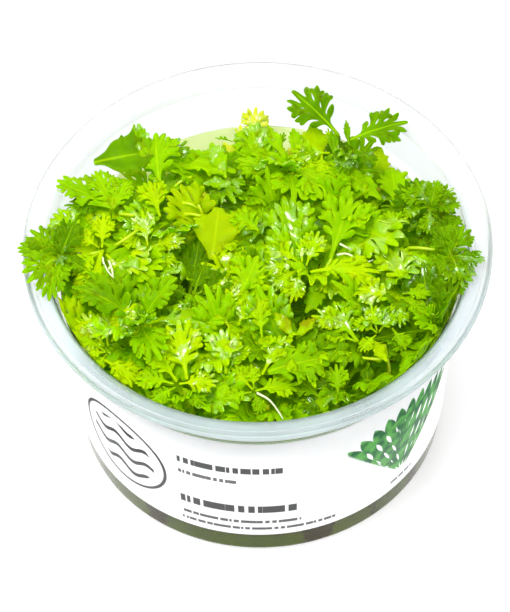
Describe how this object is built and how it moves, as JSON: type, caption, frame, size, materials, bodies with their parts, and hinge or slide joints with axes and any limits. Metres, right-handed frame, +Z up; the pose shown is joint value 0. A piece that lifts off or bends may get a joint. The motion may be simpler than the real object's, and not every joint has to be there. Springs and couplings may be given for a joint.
{
  "type": "water violet in a growing cup",
  "caption": "Clear flanged cup with a label sleeve and gel, filled by a dense stand of young lobed-leaf water plants.",
  "frame": {"origin": "middle of the cup's flat foot", "axes": "+Z up along the cup's axis, -Y towards the label's front, +X to the right seen from the front"},
  "size_m": [0.1013, 0.1, 0.0658],
  "materials": {
    "clear_plastic": "clear, polished, thin-walled",
    "label_paper": null,
    "nutrient_gel": "moist, clouded olive-green gel",
    "stem": "smooth moist pale green",
    "leaf": "moist, softly glossy, fresh yellow-green"
  },
  "bodies": {
    "root": {"cup": "clear_plastic", "flange": "clear_plastic", "label": "label_paper", "gel": "nutrient_gel", "stem_far_left": "stem", "leaves_far_left": "leaf", "stem_left": "stem", "leaves_left": "leaf", "stem_left_fan": "stem", "leaves_left_fan": "leaf", "stem_left_rim": "stem", "leaves_left_rim": "leaf", "stem_back_left": "stem", "leaves_back_left": "leaf", "stem_back": "stem", "leaves_back": "leaf", "stem_back_pale": "stem", "leaves_back_pale": "leaf", "stem_back_right": "stem", "leaves_back_right": "leaf", "stem_tall_right": "stem", "leaves_tall_right": "leaf", "stem_yellow_back": "stem", "leaves_yellow_back": "leaf", "stem_right_back": "stem", "leaves_right_back": "leaf", "stem_far_right": "stem", "leaves_far_right": "leaf", "stem_right": "stem", "leaves_right": "leaf", "stem_right_middle": "stem", "leaves_right_middle": "leaf", "stem_middle_back": "stem", "leaves_middle_back": "leaf", "stem_yellow_middle": "stem", "leaves_yellow_middle": "leaf", "stem_left_middle": "stem", "leaves_left_middle": "leaf", "stem_bright_middle": "stem", "leaves_bright_middle": "leaf", "stem_middle": "stem", "leaves_middle": "leaf", "stem_star": "stem", "leaves_star": "leaf", "stem_left_front": "stem", "leaves_left_front": "leaf", "stem_front_left": "stem", "leaves_front_left": "leaf", "stem_front_middle_left": "stem", "leaves_front_middle_left": "leaf", "stem_front_middle": "stem", "leaves_front_middle": "leaf", "stem_front": "stem", "leaves_front": "leaf", "stem_front_right": "stem", "leaves_front_right": "leaf", "stem_right_front": "stem", "leaves_right_front": "leaf", "stem_right_rim": "stem", "leaves_right_rim": "leaf"}
  },
  "joints": []
}
